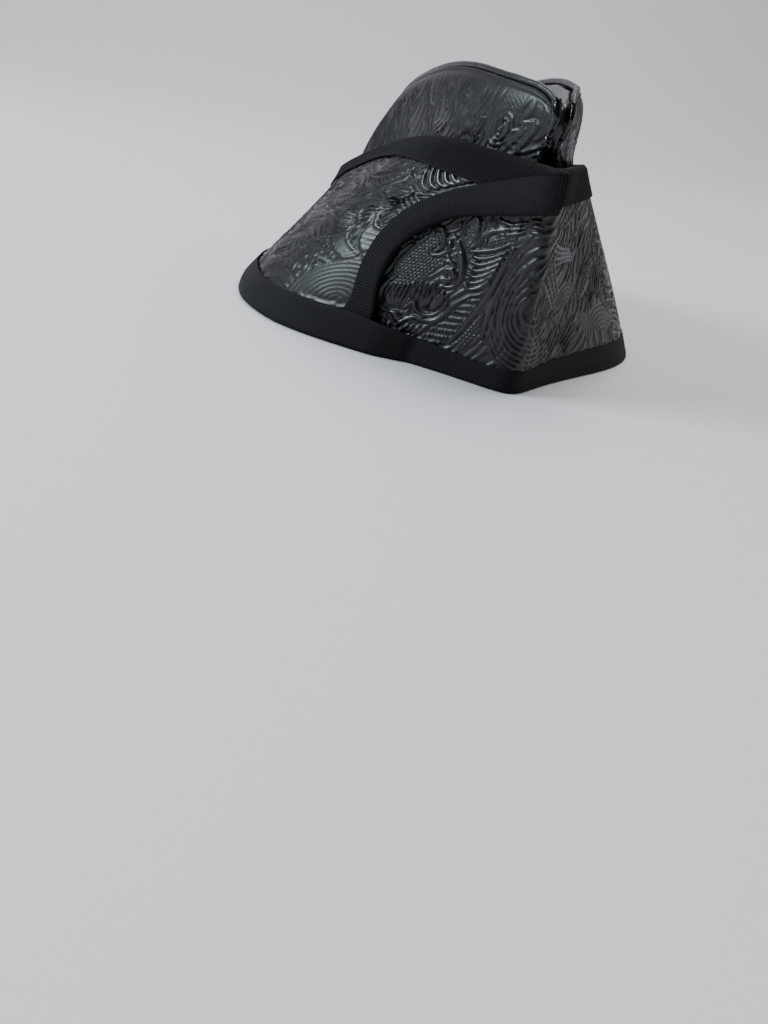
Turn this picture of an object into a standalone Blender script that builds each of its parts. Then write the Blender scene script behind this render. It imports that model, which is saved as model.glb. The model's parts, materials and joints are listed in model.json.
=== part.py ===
"""Garrison cap in embossed leather with grosgrain ribbon binding.

A curtain, one wrapped strip of leather, stands round a crown of two D-shaped side panels. A gusset
folded inward in a valley joins the panels. The near end of the curtain, on the wearer's right, laps
over the front as a wing. Ribbon binds the rim, the curtain's top edge and the wing's end.
The cap's front is at -Y, the wearer's left at +X, and the rim rests on Z = 0.
Lengths below are in millimetres and turned into metres when a mesh is made.
"""
import bpy
import bmesh
import numpy as np

MM = 0.001
CENTRE = (1.34, 0.25, 0.0)  # moves the middle of the whole box over the origin

# Driving dimensions
CURTAIN_LEATHER = 1.3
CROWN_LEATHER = 1.2
GUSSET_LEATHER = 1.0
RIBBON_THICK = 0.5
GAP = 0.35                 # clearance between neighbouring pieces
STATIONS = 60              # steps round the cap, shared by the curtain and its ribbons
ROWS = 11                  # rows of the curtain from rim to top edge
WALL_FOOT = 1.6            # height of the curtain's bottom edge inside the ribbon
WING_LIFT = 2.8            # wing over the front panel
WING_TIP_LIFT = 3.9        # wing's tip over the far ribbon
RIBBON_SHOWN = 10.4        # a 22 mm ribbon folded over an edge
RIBBON_BEHIND = 8.0        # its hidden half behind the top edge
TIP_RIBBON_BEHIND = 5.0    # and behind the wing's tip
END_RIBBON_BEHIND = 4.0    # hidden half behind the wing's end
END_RIBBON_ROWS = 27
RIM_RIBBON_SIDE = 12.8     # what the rim's ribbon shows at the sides and back
RIM_RIBBON_FRONT = 8.4     # and at the front, where it was sewn on lower
RIM_RIBBON_INSIDE = 7.0
CROWN_IN_RIM = 0.6         # crown inside the curtain at the rim
CROWN_CLEAR = 2.4          # and higher up
CROWN_COLUMNS = 23
PIPING_RADIUS = 1.3
SEAM_ALLOWANCE = 2.65      # from the middle of the seam's edge to the panel's sheet
GUSSET_SET_IN = 2.21       # and to the gusset's sheet
GUSSET_SET_DOWN = 0.6

# Pointed ovals seen from above: y of the two tips, half width and where it is widest,
# half angle of each tip in degrees, and the radius that rounds it
RIM = dict(front=-92.5, back=92.0, half=76.4, wide=-4.0, front_angle=34.0, back_angle=40.0,
           front_radius=7.5, back_radius=14.0)
TOP = dict(front=-95.2, back=100.0, half=25.0, wide=-30.0, front_angle=28.0, back_angle=54.0,
           front_radius=2.2, back_radius=6.0)

# Height of the curtain's top edge along the cap
TOP_EDGE = dict(y=(-94.5, -67, -38, -8, 21, 51, 100), z=(72.4, 71.6, 68.0, 62.7, 54.5, 45.5, 40.0))

# Crown seam from the front corner over the top to the back: y, z and half the distance between the two
SEAM = dict(y=(-86.0, -85.2, -82.5, -78, -70, -58, -40, -20, 0, 20, 40, 60, 76, 86, 90),
            z=(86.5, 89.4, 92.0, 93.7, 94.7, 95.4, 96.0, 94.8, 91.9, 88.2, 83.8, 77.6, 69.6, 60.0, 53.0),
            half=(5.0, 5.3, 6.0, 7.4, 9.8, 12.6, 15.6, 17.4, 18.0, 17.6, 16.6, 15.0, 13.2, 11.2, 10.2))

# Valley between the seams: depth below them and height of the small fold that stands in it
VALLEY = dict(y=(-86, -70, -40, 0, 40, 90), depth=(13.0, 17.0, 20.0, 19.0, 15.0, 8.0),
              fold=(8.0, 7.0, 3.0, 0.0, 0.0, 0.0))
VALLEY_CENTRE = (0.0, -5.0, 10.0)      # the valley's depth is measured towards this point

# End edge of the wing, from the rim to the tip: way round the cap and height up the curtain
WING_END = dict(turn=(0.850, 0.845, 0.838, 0.834, 0.834, 0.843, 0.868, 0.915, 0.965, 1.0),
                rise=(0.03, 0.17, 0.29, 0.40, 0.50, 0.61, 0.71, 0.775, 0.82, 0.845))
WING_END_SHARE = 0.78      # share of the wing's rows that end there; the rest end at its upright tip

UNDERLAP_END = -0.30       # the front panel's hidden end, under the wing
WING_ROOT = 0.65           # where the wing's rows start to fan out


def smooth(x, a, b):
    """0 below a, 1 above b, with an S-shaped rise between them."""
    t = np.clip((np.asarray(x, float) - a) / (b - a), 0, 1)
    return t * t * (3 - 2 * t)


def along(table, column, x, key):
    """Value of a table's column at x, on a curve through its rows."""
    xs, ys = np.array(table[key], float), np.array(table[column], float)
    slope = np.gradient(ys, xs)
    x = np.clip(x, xs[0], xs[-1])
    i = np.clip(np.searchsorted(xs, x) - 1, 0, len(xs) - 2)
    h = xs[i + 1] - xs[i]
    t = (x - xs[i]) / h
    return ((2 * t**3 - 3 * t**2 + 1) * ys[i] + (t**3 - 2 * t**2 + t) * h * slope[i]
            + (3 * t**2 - 2 * t**3) * ys[i + 1] + (t**3 - t**2) * h * slope[i + 1])


def half_oval(oval, u, end):
    """Quarter of a pointed oval from its tip (u = 0) to its widest point (u = 1)."""
    sign = 1 if end == "front" else -1
    angle, radius = np.radians(oval[end + "_angle"]), oval[end + "_radius"]
    tan = np.tan(angle)
    ease = radius * tan
    tip = oval[end] - sign * ease / tan
    span = abs(oval["wide"] - tip)
    t = u ** 1.6
    x = 1.5 * (1 - t)**2 * t * span * np.sin(angle) + (3 * (1 - t) * t**2 + t**3) * oval["half"]
    y = ((1 - t)**3 + 3 * (1 - t)**2 * t) * tip + (3 * (1 - t) * t**2 + t**3) * oval["wide"]
    y = y + sign * (1.5 * (1 - t)**2 * t * span * np.cos(angle) - 1.5 * (1 - t) * t**2 * span)
    return x, y + sign * (np.sqrt(x**2 + ease**2) - x) / tan


def oval_point(oval, turn):
    """x and y on an oval; turn runs from 0 at the front by the wearer's left to 1 at the front again."""
    q = (np.asarray(turn, float) % 1.0) * 4
    left = q < 2
    q = np.where(left, q, 4 - q)
    fx, fy = half_oval(oval, np.clip(q, 0, 1), "front")
    bx, by = half_oval(oval, np.clip(2 - q, 0, 1), "back")
    x, y = np.where(q < 1, fx, bx), np.where(q < 1, fy, by)
    return np.where(left, x, -x), y


def middle(turn, rise):
    """Innermost surface of the curtain. rise is 0 at the rim and 1 at the top edge."""
    xr, yr = oval_point(RIM, turn)
    xt, yt = oval_point(TOP, turn)
    zt = along(TOP_EDGE, "z", yt, "y")
    k = rise - 0.16 * rise * (1 - rise)
    z = WALL_FOOT + (zt - WALL_FOOT) * rise
    x, y, z = np.broadcast_arrays(xr + (xt - xr) * k, yr + (yt - yr) * rise, z)
    return np.stack([x, y, z], axis=-1)


def normal(turn, rise):
    """Outward normal of the curtain."""
    turn, rise = np.broadcast_arrays(np.asarray(turn, float), np.asarray(rise, float))
    along_turn = middle(turn + 0.002, rise) - middle(turn - 0.002, rise)
    up = middle(turn, rise + 0.01) - middle(turn, rise - 0.01)
    n = np.cross(along_turn, up)
    return n / np.linalg.norm(n, axis=-1, keepdims=True)


def wall(turn, rise, out=0.0):
    """Point at a distance out from the curtain's innermost surface."""
    out = np.broadcast_to(out, np.broadcast_shapes(np.shape(turn), np.shape(rise), np.shape(out)))
    return middle(turn, rise) + normal(turn, rise) * out[..., None]


def wall_height(turn):
    """Length of the curtain's wall from rim to top edge."""
    return np.linalg.norm(middle(turn, 1.0) - middle(turn, 0.0), axis=-1)


def lift(s):
    """Distance of the strip from the innermost surface, along the strip's own way round."""
    return WING_LIFT * smooth(s, 0.56, 0.67) + (WING_TIP_LIFT - WING_LIFT) * smooth(s, 0.88, 0.97)


def sheet(name, grid, thick, material, ring=False, even=True):
    """Mesh through a grid of points, thickened outward."""
    rows, cols = grid.shape[:2]
    bm = bmesh.new()
    verts = [[bm.verts.new((grid[i, j] + CENTRE) * MM) for j in range(cols)] for i in range(rows)]
    for i in range(rows if ring else rows - 1):
        a, b = verts[i], verts[(i + 1) % rows]
        for j in range(cols - 1):
            bm.faces.new((a[j], b[j], b[j + 1], a[j + 1]))
    mesh = bpy.data.meshes.new(name)
    bm.to_mesh(mesh)
    bm.free()
    mesh.shade_smooth()
    mesh.set_sharp_from_angle(angle=np.radians(40))
    mesh.materials.append(material)
    obj = bpy.data.objects.new(name, mesh)
    bpy.context.scene.collection.objects.link(obj)
    solid = obj.modifiers.new("Thickness", "SOLIDIFY")
    solid.thickness = thick * MM
    solid.offset = 1.0
    solid.use_even_offset = even
    return obj


def piping(name, points, radius, material):
    """Round cord through points, with closed ends."""
    curve = bpy.data.curves.new(name, "CURVE")
    curve.dimensions = "3D"
    curve.bevel_depth = radius * MM
    curve.bevel_resolution = 1
    curve.use_fill_caps = True
    spline = curve.splines.new("POLY")
    spline.points.add(len(points) - 1)
    for p, q in zip(spline.points, points):
        p.co = (*((q + CENTRE) * MM), 1.0)
    curve.materials.append(material)
    obj = bpy.data.objects.new(name, curve)
    bpy.context.scene.collection.objects.link(obj)
    return obj


def finish(name, colour, roughness):
    """Plain material of one colour."""
    material = bpy.data.materials.new(name)
    material.use_nodes = True
    shader = material.node_tree.nodes["Principled BSDF"]
    shader.inputs["Base Color"].default_value = (*colour, 1.0)
    shader.inputs["Roughness"].default_value = roughness
    shader.inputs["Metallic"].default_value = 0.0
    return material


for old in list(bpy.data.objects):
    bpy.data.objects.remove(old, do_unlink=True)

curtain_leather = finish("curtain_leather", (0.022, 0.023, 0.026), 0.38)
panel_leather = finish("panel_leather", (0.022, 0.023, 0.026), 0.38)
gusset_leather = finish("gusset_leather", (0.016, 0.016, 0.018), 0.30)
edge_leather = finish("edge_leather", (0.030, 0.030, 0.033), 0.45)
grosgrain = finish("grosgrain", (0.010, 0.010, 0.011), 0.80)

# Curtain: the strip starts under the wing, passes the front, the wearer's left and the back, and fans
# out into the wing, whose rows end on the wing's end edge
start = np.arange(round(UNDERLAP_END * STATIONS), round(WING_ROOT * STATIONS) + 1) / STATIONS
rise = np.linspace(0.0, 1.0, ROWS)
end_table = dict(WING_END, row=np.linspace(0, WING_END_SHARE, len(WING_END["rise"])))
on_end = rise <= WING_END_SHARE
tip_rise = WING_END["rise"][-1]
end_turn = np.where(on_end, along(end_table, "turn", rise, "row"), 1.0)
end_rise = np.where(on_end, along(end_table, "rise", rise, "row"),
                    tip_rise + (1 - tip_rise) * (rise - WING_END_SHARE) / (1 - WING_END_SHARE))
end_rise[0] = 0.0
fan = np.linspace(0, 1, round((1 - WING_ROOT) * STATIONS) + 1)[1:, None]
s_grid = np.concatenate([np.repeat(start[:, None], ROWS, 1), WING_ROOT + (end_turn - WING_ROOT) * fan])
v_grid = np.concatenate([np.repeat(rise[None], len(start), 0), rise + (end_rise - rise) * fan])
sheet("curtain", wall(s_grid, v_grid, lift(s_grid)), CURTAIN_LEATHER, curtain_leather)


def folded(shown, hidden, inner, outer):
    """Path of a folded ribbon's inner face across an edge: distance down from the edge, and out."""
    middle_out = (inner + outer) / 2
    return [(shown, outer), (shown * 0.45, outer), (0.5, outer), (-GAP, outer - 0.3), (-GAP - 0.25, middle_out),
            (-GAP, inner + 0.3), (0.5, inner), (hidden, inner)]


# Ribbon over the curtain's top edge, from the front by the wearer's left and the back to the wing's tip
top_grid = []
for s in np.append(np.arange(-1, STATIONS + 1), STATIONS + 0.2) / STATIONS:
    behind = RIBBON_BEHIND + (TIP_RIBBON_BEHIND - RIBBON_BEHIND) * smooth(s, 0.86, 0.92)
    path = np.array(folded(RIBBON_SHOWN, behind, lift(s) - 1.4 * GAP, lift(s) + CURTAIN_LEATHER + 1.4 * GAP))
    top_grid.append(wall(s, 1 - path[:, 0] / wall_height(s), path[:, 1]))
sheet("top_edge_binding", np.array(top_grid), RIBBON_THICK, grosgrain)

# Ribbon over the wing's end edge, from the rim to the tip
row = WING_END_SHARE * (1 - (1 - np.linspace(0.0, 1.0, END_RIBBON_ROWS)) ** 1.35)   # closer towards the tip
edge_s, edge_v = along(end_table, "turn", row, "row"), along(end_table, "rise", row, "row")
edge = wall(edge_s, edge_v, lift(edge_s))
tangent = np.gradient(edge, axis=0)
tangent /= np.linalg.norm(tangent, axis=1, keepdims=True)
into = np.cross(normal(edge_s, edge_v), tangent)
into /= np.linalg.norm(into, axis=1, keepdims=True)
over = smooth(row, 0.30, 0.50) * (RIBBON_THICK + 1.9 * GAP)      # passes over the top edge's ribbon
per_turn = (wall(edge_s + 0.002, edge_v, lift(edge_s)) - wall(edge_s - 0.002, edge_v, lift(edge_s))) / 0.004
per_rise = (wall(edge_s, edge_v + 0.01, lift(edge_s)) - wall(edge_s, edge_v - 0.01, lift(edge_s))) / 0.02
grid = []
for k in range(END_RIBBON_ROWS):
    path = np.array(folded(RIBBON_SHOWN, END_RIBBON_BEHIND, -1.6 * GAP, CURTAIN_LEATHER + 1.8 * GAP))
    upright = smooth(row[k], 0.42, 0.66)      # along the tongue the ribbon stands straight up the wall
    path[3:6, 0] -= 1.0
    path[5:, 1] -= 0.3 * upright
    path[:3, 1] += over[k] * np.array([1, 1, 0.4])
    step = np.linalg.lstsq(np.stack([per_turn[k], per_rise[k]], axis=1), into[k], rcond=None)[0]
    step = step * (1 - upright) + np.array([0.0, 1 / np.linalg.norm(per_rise[k])]) * upright
    s_at, v_at = edge_s[k] + step[0] * path[:, 0], edge_v[k] + step[1] * path[:, 0]
    grid.append(wall(s_at, v_at, lift(s_at) + path[:, 1]))
sheet("wing_end_binding", np.array(grid)[:, ::-1], RIBBON_THICK, grosgrain)

# Ribbon over the rim, round both layers where the wing lies over the front panel
turn = np.arange(STATIONS) / STATIONS
wing_end_rim = WING_END["turn"][0]
both = 1 - smooth(turn, wing_end_rim + 0.004, wing_end_rim + 0.035)
layers = both * (np.where(turn < 0.5, 0.0, lift(turn)) + (RIBBON_THICK + 1.8 * GAP) * smooth(turn, 0.77, 0.80))
outer = layers + CURTAIN_LEATHER + GAP + 0.55 * smooth(layers, 0.0, 1.0)
inner = -CROWN_IN_RIM - CROWN_LEATHER - 1.7 * GAP
front = 1 - smooth(np.minimum(turn, 1 - turn), 0.03, 0.17)
shown = RIM_RIBBON_SIDE + (RIM_RIBBON_FRONT - RIM_RIBBON_SIDE) * front
rim_grid = []
for t, o, show in zip(turn, outer, shown):
    path = np.array([(show, o), (show * 0.5, o), (1.2, o), (-1.5, o + 0.1), (-0.6, inner + 0.2), (1.2, inner),
                     (RIM_RIBBON_INSIDE, inner)])
    row_points = wall(t, path[:, 0] / wall_height(t), path[:, 1])
    row_points[3:5, 2] = RIBBON_THICK
    rim_grid.append(row_points)
rim_binding = sheet("rim_binding", np.array(rim_grid)[:, ::-1], RIBBON_THICK, grosgrain, ring=True)
thick_ribbon = rim_binding.evaluated_get(bpy.context.evaluated_depsgraph_get())
rim_binding.data = bpy.data.meshes.new_from_object(thick_ribbon)
rim_binding.modifiers.clear()
for vertex in rim_binding.data.vertices:      # its underside is flat and rests on Z = 0
    if vertex.co.z < 0.2 * MM:
        vertex.co.z = 0.0

# Crown panels: D-shaped, from inside the rim up to the seam
SEAM_FRONT, SEAM_BACK = SEAM["y"][0], SEAM["y"][-1]
PANEL_FRONT, PANEL_BACK = -80.5, 87.5      # where the panels' end columns pass the curtain's top edge
seam_y = SEAM_FRONT + (SEAM_BACK - SEAM_FRONT) * np.linspace(0, 1, CROWN_COLUMNS) ** 1.35


def seam_points(y, side):
    """Points of one side's seam at given y."""
    return np.stack([side * along(SEAM, "half", y, "y"), y, along(SEAM, "z", y, "y")], axis=-1)


def turn_at(y, side):
    """Way round the cap at which the curtain's top edge reaches y."""
    t = np.linspace(0.0, 0.5, 400)
    found = np.interp(y, oval_point(TOP, t)[1], t)
    return found if side > 0 else 1 - found


def crown_grid(side):
    """Inner face of a panel: columns from the rim up the curtain's inside and on to the seam."""
    columns = []
    stretch = (PANEL_BACK - PANEL_FRONT) / (SEAM_BACK - SEAM_FRONT)
    for y in seam_y:
        t = turn_at(PANEL_FRONT + (y - SEAM_FRONT) * stretch, side)
        top = seam_points(np.array(y), side)
        low = np.array([0.03, 0.16, 0.34, 0.56, 0.78, 1.0])
        inset = CROWN_IN_RIM + (CROWN_CLEAR - CROWN_IN_RIM) * smooth(low, 0.14, 0.36)
        lower = wall(t, low, -CROWN_LEATHER - inset)
        rising = lower[-1] - lower[-2]
        rising /= np.linalg.norm(rising)
        reach = np.linalg.norm(top - lower[-1])
        front = float(1 - smooth(y, -86, -76))
        inward = np.array([-side * (0.5 - 0.2 * front), -0.85 * front, 0.85 - 0.4 * front])
        k = np.linspace(0, 1, 7)[1:, None]
        end = top - inward * SEAM_ALLOWANCE
        upper = ((2 * k**3 - 3 * k**2 + 1) * lower[-1] + (k**3 - 2 * k**2 + k) * reach * rising
                 + (3 * k**2 - 2 * k**3) * end + (k**3 - k**2) * reach * inward)
        columns.append(np.concatenate([lower, upper]))
    grid = np.array(columns)
    return grid if side > 0 else grid[::-1]


sheet("crown_panel_right", crown_grid(-1), CROWN_LEATHER, panel_leather)
sheet("crown_panel_left", crown_grid(1), CROWN_LEATHER, panel_leather)


# Gusset: the strip between the two seams, folded inward in a valley, with a smaller fold standing
# in it near the front; it runs from inside the front of the curtain over the top to the back
def spine(side):
    """Seam line of one side, led down inside the curtain at the front and the back."""
    top = seam_points(seam_y, side)
    front, back = top[0], top[-1]
    front_drop = [(front[0], front[1] + d * 0.18, front[2] - d) for d in (38.0, 26.0, 16.0, 8.0, 3.0)]
    back_drop = [(back[0] * (1 - d * 0.006), back[1] - d * 0.05, back[2] - d) for d in (5.0, 12.0, 20.0)]
    return np.concatenate([front_drop, top, back_drop])


right_line, left_line = spine(-1), spine(1)
across = np.array([1.0, 0.0, 0.0])
inward = VALLEY_CENTRE - (right_line + left_line) / 2
inward /= np.linalg.norm(inward, axis=1, keepdims=True)
centre_y = right_line[:, 1]
depth = along(VALLEY, "depth", centre_y, "y")
fold = along(VALLEY, "fold", centre_y, "y")
SECTION = dict(at=(0.0, 0.10, 0.30, 0.42, 0.5, 0.58, 0.70, 0.90, 1.0),
               down=(0.04, 0.35, 0.85, 1.0, 1.0, 1.0, 0.85, 0.35, 0.04),
               up=(0, 0, 0, 0.55, 1.0, 0.55, 0, 0, 0))
at, down, up = (np.array(SECTION[column]) for column in ("at", "down", "up"))
rows = []
for k in range(len(right_line)):
    a = right_line[k] + across * GUSSET_SET_IN
    b = left_line[k] - across * GUSSET_SET_IN
    below = depth[k] * down - fold[k] * up + GUSSET_SET_DOWN
    rows.append(a + (b - a) * at[:, None] + inward[k] * below[:, None])
sheet("crown_gusset", np.array(rows), GUSSET_LEATHER, gusset_leather, even=False)

# Raised, turned edge along each panel's seam
for side, word in ((-1, "right"), (1, "left")):
    piping("crown_seam_" + word, spine(side)[2:-2], PIPING_RADIUS, edge_leather)
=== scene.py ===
"""Garrison cap in black embossed leather with grosgrain binding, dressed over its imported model.

The cap's front is at -Y, the wearer's left at +X, and the rim rests on Z = 0. Sizes are in millimetres
and become metres when a mesh is laid out.
"""
import json

import bpy
import numpy as np
from mathutils import Matrix

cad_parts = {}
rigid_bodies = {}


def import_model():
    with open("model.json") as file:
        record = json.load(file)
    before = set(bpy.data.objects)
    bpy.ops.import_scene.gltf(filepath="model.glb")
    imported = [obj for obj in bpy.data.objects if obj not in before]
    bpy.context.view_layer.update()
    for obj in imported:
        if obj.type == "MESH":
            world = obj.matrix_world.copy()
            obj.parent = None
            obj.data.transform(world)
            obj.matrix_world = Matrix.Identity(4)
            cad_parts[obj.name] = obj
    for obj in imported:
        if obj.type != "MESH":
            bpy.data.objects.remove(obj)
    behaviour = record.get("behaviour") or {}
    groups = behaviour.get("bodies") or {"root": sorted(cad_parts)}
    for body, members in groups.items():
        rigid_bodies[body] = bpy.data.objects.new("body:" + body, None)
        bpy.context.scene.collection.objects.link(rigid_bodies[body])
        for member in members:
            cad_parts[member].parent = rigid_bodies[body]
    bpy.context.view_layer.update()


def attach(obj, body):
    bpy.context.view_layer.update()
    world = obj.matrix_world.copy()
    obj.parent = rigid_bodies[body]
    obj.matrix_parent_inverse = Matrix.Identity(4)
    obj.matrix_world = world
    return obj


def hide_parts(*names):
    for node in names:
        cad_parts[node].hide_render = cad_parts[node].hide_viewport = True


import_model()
for thing in bpy.context.scene.objects:
    thing.select_set(False)

# Curtain: one strip of embossed leather, 1.3 mm thick, that stands round the cap and laps over its own
# front as a wing. It is sewn to the crown inside the rim, and its edges are bound with ribbon.
# It is kept in three meshes, front, left and wing, so that each holds its fine relief.
MM = 0.001
CENTRE = (1.34, 0.25, 0.0)
CURTAIN_LEATHER = 1.3
WALL_FOOT = 1.6
WALL_BOW = 0.16
WING_LIFT = 2.8
WING_TIP_LIFT = 3.9
WING_ROOT = 0.65
WING_CORNER = 0.78          # share of the wing's rows that end on its end edge; the rest end at its tip
UNDERLAP_END = -0.30
RIM = dict(front=-92.5, back=92.0, half=76.4, wide=-4.0, front_angle=34.0, back_angle=40.0,
           front_radius=7.5, back_radius=14.0)
TOP = dict(front=-95.2, back=100.0, half=25.0, wide=-30.0, front_angle=28.0, back_angle=54.0,
           front_radius=2.2, back_radius=6.0)
TOP_EDGE = dict(y=(-94.5, -67, -38, -8, 21, 51, 100), z=(72.4, 71.6, 68.0, 62.7, 54.5, 45.5, 40.0))
WING_END = dict(turn=(0.850, 0.845, 0.838, 0.834, 0.834, 0.843, 0.868, 0.915, 0.965, 1.0),
                rise=(0.03, 0.17, 0.29, 0.40, 0.50, 0.61, 0.71, 0.775, 0.82, 0.845))


def smooth(x, a, b):
    """0 below a, 1 above b, with an S-shaped rise between them."""
    t = np.clip((np.asarray(x, float) - a) / (b - a), 0, 1)
    return t * t * (3 - 2 * t)


def unit(vectors):
    """The same directions at length 1."""
    return vectors / np.linalg.norm(vectors, axis=-1, keepdims=True)


def reach_along(line):
    """Length along a line up to each of its points."""
    return np.concatenate([[0.0], np.cumsum(np.linalg.norm(np.diff(line, axis=0), axis=-1))])


def hermite(t, a, b, slope_a, slope_b):
    """Curve from a to b as t goes from 0 to 1, with a slope at each end."""
    return ((2 * t**3 - 3 * t**2 + 1) * a + (t**3 - 2 * t**2 + t) * slope_a
            + (3 * t**2 - 2 * t**3) * b + (t**3 - t**2) * slope_b)


def along(table, column, x, key):
    """Value of a table's column at x, on a curve through its rows."""
    xs, ys = np.array(table[key], float), np.array(table[column], float)
    slope = np.gradient(ys, xs)
    x = np.clip(x, xs[0], xs[-1])
    i = np.clip(np.searchsorted(xs, x) - 1, 0, len(xs) - 2)
    h = xs[i + 1] - xs[i]
    return hermite((x - xs[i]) / h, ys[i], ys[i + 1], h * slope[i], h * slope[i + 1])


def half_oval(oval, u, end):
    """Quarter of a pointed oval from its tip (u = 0) to its widest point (u = 1)."""
    sign = 1 if end == "front" else -1
    angle, radius = np.radians(oval[end + "_angle"]), oval[end + "_radius"]
    tan = np.tan(angle)
    ease = radius * tan
    tip = oval[end] - sign * ease / tan
    span = abs(oval["wide"] - tip)
    t = u ** 1.6
    x = 1.5 * (1 - t)**2 * t * span * np.sin(angle) + (3 * (1 - t) * t**2 + t**3) * oval["half"]
    y = ((1 - t)**3 + 3 * (1 - t)**2 * t) * tip + (3 * (1 - t) * t**2 + t**3) * oval["wide"]
    y = y + sign * (1.5 * (1 - t)**2 * t * span * np.cos(angle) - 1.5 * (1 - t) * t**2 * span)
    return x, y + sign * (np.sqrt(x**2 + ease**2) - x) / tan * (1 - smooth(u, 0.6, 1.0))


def oval_point(oval, turn):
    """x and y on an oval; turn runs from 0 at the front by the wearer's left to 1 at the front again."""
    q = (np.asarray(turn, float) % 1.0) * 4
    left = q < 2
    q = np.where(left, q, 4 - q)
    fx, fy = half_oval(oval, np.clip(q, 0, 1), "front")
    bx, by = half_oval(oval, np.clip(2 - q, 0, 1), "back")
    x, y = np.where(q < 1, fx, bx), np.where(q < 1, fy, by)
    return np.where(left, x, -x), y


def middle(turn, rise):
    """Innermost surface of the curtain. rise is 0 at the rim and 1 at the top edge."""
    xr, yr = oval_point(RIM, turn)
    xt, yt = oval_point(TOP, turn)
    zt = along(TOP_EDGE, "z", yt, "y")
    k = rise - WALL_BOW * rise * (1 - rise)
    x, y, z = np.broadcast_arrays(xr + (xt - xr) * k, yr + (yt - yr) * rise,
                                  WALL_FOOT + (zt - WALL_FOOT) * rise)
    return np.stack([x, y, z], axis=-1)


def normal(turn, rise):
    """Outward normal of the curtain."""
    turn, rise = np.broadcast_arrays(np.asarray(turn, float), np.asarray(rise, float))
    return unit(np.cross(middle(turn + 0.002, rise) - middle(turn - 0.002, rise),
                         middle(turn, rise + 0.01) - middle(turn, rise - 0.01)))


def wall(turn, rise, out=0.0):
    """Point at a distance out from the curtain's innermost surface."""
    out = np.broadcast_to(out, np.broadcast_shapes(np.shape(turn), np.shape(rise), np.shape(out)))
    return middle(turn, rise) + normal(turn, rise) * out[..., None]


def wall_height(turn):
    """Length of the curtain's wall from rim to top edge."""
    return np.linalg.norm(middle(turn, 1.0) - middle(turn, 0.0), axis=-1)


def lift(s):
    """Distance of the strip from the innermost surface, along the strip's own way round."""
    return WING_LIFT * smooth(s, 0.56, 0.67) + (WING_TIP_LIFT - WING_LIFT) * smooth(s, 0.88, 0.97)


WAY = np.linspace(UNDERLAP_END, 1.02, 1321)
ROUND = reach_along(middle(WAY, 0.5))
ROUND -= np.interp(0.0, WAY, ROUND)          # length of leather from the front's middle to each turn
CURTAIN_LONG = float(np.interp(1.0, WAY, ROUND))


def curve(points, gap=0.25):
    """Smooth line through a few points."""
    p = np.array(points, float)
    reach = reach_along(p)
    at = np.linspace(0, reach[-1], int(reach[-1] / gap) + 2)
    slope = np.gradient(p, reach, axis=0)
    i = np.clip(np.searchsorted(reach, at) - 1, 0, len(reach) - 2)
    h = (reach[i + 1] - reach[i])[:, None]
    return hermite((at - reach[i])[:, None] / h, p[i], p[i + 1], h * slope[i], h * slope[i + 1])


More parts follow.
